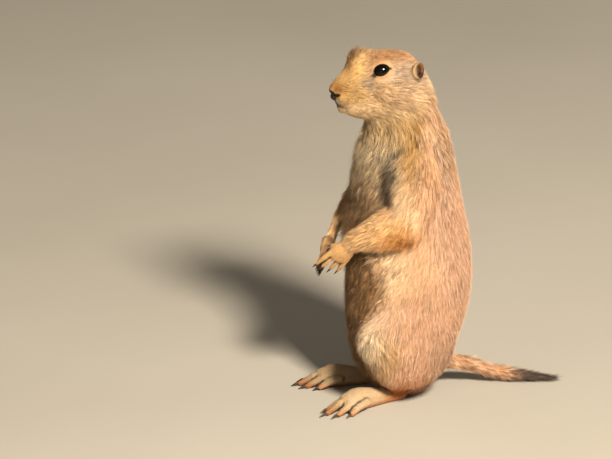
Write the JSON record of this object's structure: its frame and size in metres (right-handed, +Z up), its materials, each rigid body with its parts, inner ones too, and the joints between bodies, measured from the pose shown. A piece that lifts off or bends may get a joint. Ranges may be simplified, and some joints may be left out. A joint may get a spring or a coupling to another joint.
{
  "type": "prairie dog",
  "caption": "Life-size still model of a prairie dog sitting upright on its hind feet and rump, forepaws held in front of the belly, short tail behind.",
  "frame": {"origin": "on the floor, under the middle of the bounding box", "axes": "+Z up, the animal faces -Y and its left side is +X"},
  "size_m": [0.1012, 0.196, 0.2717],
  "materials": {
    "sandy_coat": "short coat, matt",
    "pale_coat": "short pale coat, matt",
    "dark_tail": "short dark coat, matt",
    "eye": "wet gloss",
    "claw": "horn, satin",
    "nose": "bare skin, satin"
  },
  "bodies": {
    "root": {"claw_foot_left_1": "claw", "claw_foot_left_2": "claw", "claw_foot_left_3": "claw", "claw_foot_left_4": "claw", "claw_foot_left_5": "claw", "claw_foot_right_1": "claw", "claw_foot_right_2": "claw", "claw_foot_right_3": "claw", "claw_foot_right_4": "claw", "claw_foot_right_5": "claw", "claw_hand_left_1": "claw", "claw_hand_left_2": "claw", "claw_hand_left_3": "claw", "claw_hand_left_4": "claw", "claw_hand_left_5": "claw", "claw_hand_right_1": "claw", "claw_hand_right_2": "claw", "claw_hand_right_3": "claw", "claw_hand_right_4": "claw", "claw_hand_right_5": "claw", "ear_left": "sandy_coat", "ear_right": "sandy_coat", "eye_left": "eye", "eye_right": "eye", "foot_left": "pale_coat", "foot_right": "pale_coat", "forearm_left": "sandy_coat", "forearm_right": "sandy_coat", "hand_left": "pale_coat", "hand_right": "pale_coat", "head": "sandy_coat", "neck": "sandy_coat", "nose": "nose", "shank_left": "sandy_coat", "shank_right": "sandy_coat", "tail_base": "sandy_coat", "tail_tip": "dark_tail", "thigh_left": "sandy_coat", "thigh_right": "sandy_coat", "torso": "sandy_coat", "upper_arm_left": "sandy_coat", "upper_arm_right": "sandy_coat"}
  },
  "joints": []
}
